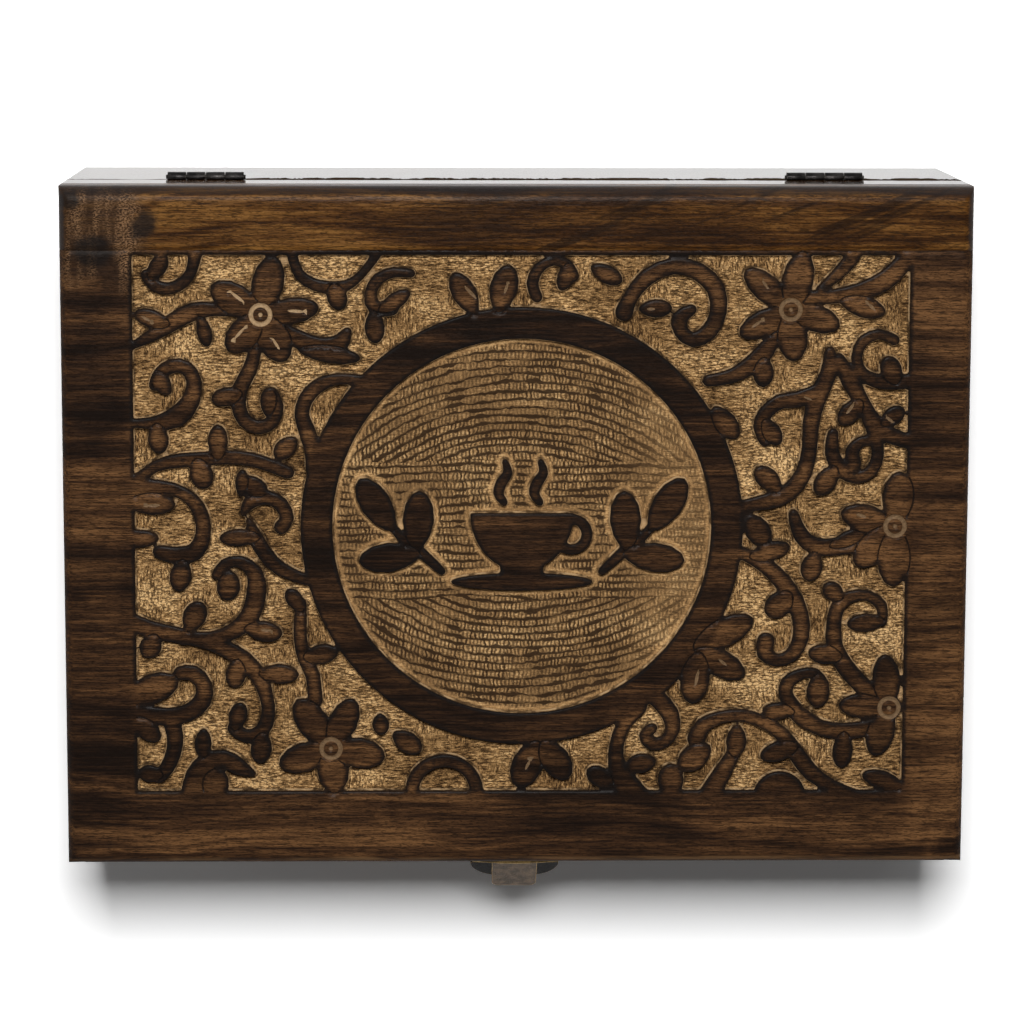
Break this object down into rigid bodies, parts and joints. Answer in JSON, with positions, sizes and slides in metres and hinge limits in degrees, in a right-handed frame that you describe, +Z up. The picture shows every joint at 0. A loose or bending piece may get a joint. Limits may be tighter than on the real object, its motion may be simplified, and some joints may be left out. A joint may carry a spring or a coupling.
{
  "type": "tea bag organizer box",
  "caption": "Low wooden box with divided compartments for tea bags, a carved hinged lid and a swinging metal latch.",
  "frame": {"origin": "centre of the base's footprint, on the surface that the box stands on", "axes": "+X to the right seen from the latch side, +Y towards the hinges, +Z up"},
  "size_m": [0.254, 0.2082, 0.085],
  "materials": {
    "wood_burnt": "scorched dark brown wood under satin varnish",
    "wood_carved": "scorched dark brown relief over a pale raw chiselled ground",
    "wood_warm": "scorched orange-brown figured wood under satin varnish",
    "wood_raw": "bare pale wood",
    "bronze_dark": "dark bronze plated metal",
    "brass_aged": "antique brass with dark recesses",
    "screw_steel": "dull yellowed steel"
  },
  "bodies": {
    "base": {"base_front_wall": "wood_burnt", "base_back_wall": "wood_burnt", "base_left_wall": "wood_burnt", "base_right_wall": "wood_burnt", "base_bottom": "wood_raw", "divider_long": "wood_raw", "divider_cross_left": "wood_raw", "divider_cross_right": "wood_raw", "hinge_left_base_leaf": "bronze_dark", "hinge_right_base_leaf": "bronze_dark", "hinge_left_pin": "bronze_dark", "hinge_right_pin": "bronze_dark", "hinge_screws_base": "screw_steel", "latch_catch": "brass_aged", "latch_nails_base": "brass_aged"},
    "lid": {"lid_top": "wood_carved", "lid_back_strip": "wood_warm", "lid_front_rail": "wood_burnt", "lid_back_rail": "wood_warm", "lid_left_rail": "wood_burnt", "lid_right_rail": "wood_burnt", "hinge_left_lid_leaf": "bronze_dark", "hinge_right_lid_leaf": "bronze_dark", "hinge_screws_lid": "screw_steel", "latch_plate": "brass_aged", "latch_pin": "bronze_dark", "latch_nails_lid": "brass_aged"},
    "flap": {"latch_flap": "brass_aged"}
  },
  "joints": [
    {"name": "lid_hinge", "type": "hinge", "parent": "base", "child": "lid", "pos_m": [0, 0.0968, 0.05695], "axis": [-1, 0, 0], "range_deg": [0, 180]},
    {"name": "latch_hinge", "type": "hinge", "parent": "lid", "child": "flap", "pos_m": [0, -0.0982, 0.0664], "axis": [-1, 0, 0], "range_deg": [-39, 81]}
  ]
}
